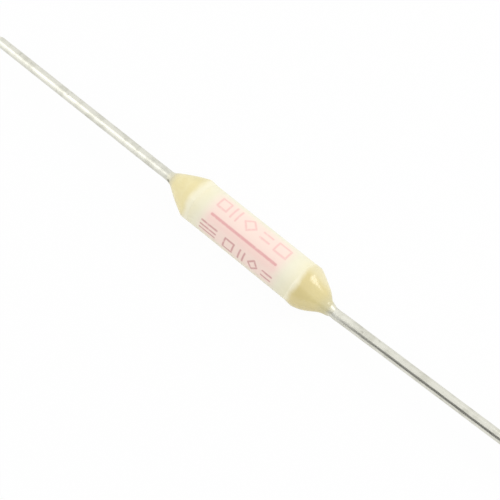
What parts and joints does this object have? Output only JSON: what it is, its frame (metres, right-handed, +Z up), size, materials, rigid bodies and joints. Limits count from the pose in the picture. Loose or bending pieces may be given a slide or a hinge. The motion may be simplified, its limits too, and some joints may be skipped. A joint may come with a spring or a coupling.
{
  "type": "thermal fuse",
  "caption": "Axial thermal cut-off: a white ceramic tube sealed with resin cones round two wire leads, which a low-melting alloy link joins inside.",
  "frame": {"origin": "middle of the ceramic tube, on its axis", "axes": "+X along the tube towards the right lead, +Z up, and the right lead leans slightly towards +Y"},
  "size_m": [0.0387, 0.0026, 0.0026],
  "materials": {
    "ceramic": "fine-grained white alumina, unglazed",
    "tinned_wire": "drawn copper wire with a bright tin plating",
    "resin": "cured yellowish epoxy, slightly translucent",
    "alloy": "dull grey low-melting alloy",
    "flux": "amber resin flux"
  },
  "bodies": {
    "root": {"ceramic_case": "ceramic", "left_lead": "tinned_wire", "right_lead": "tinned_wire", "left_seal": "resin", "right_seal": "resin", "fusible_link": "alloy", "flux_coat": "flux"}
  },
  "joints": []
}
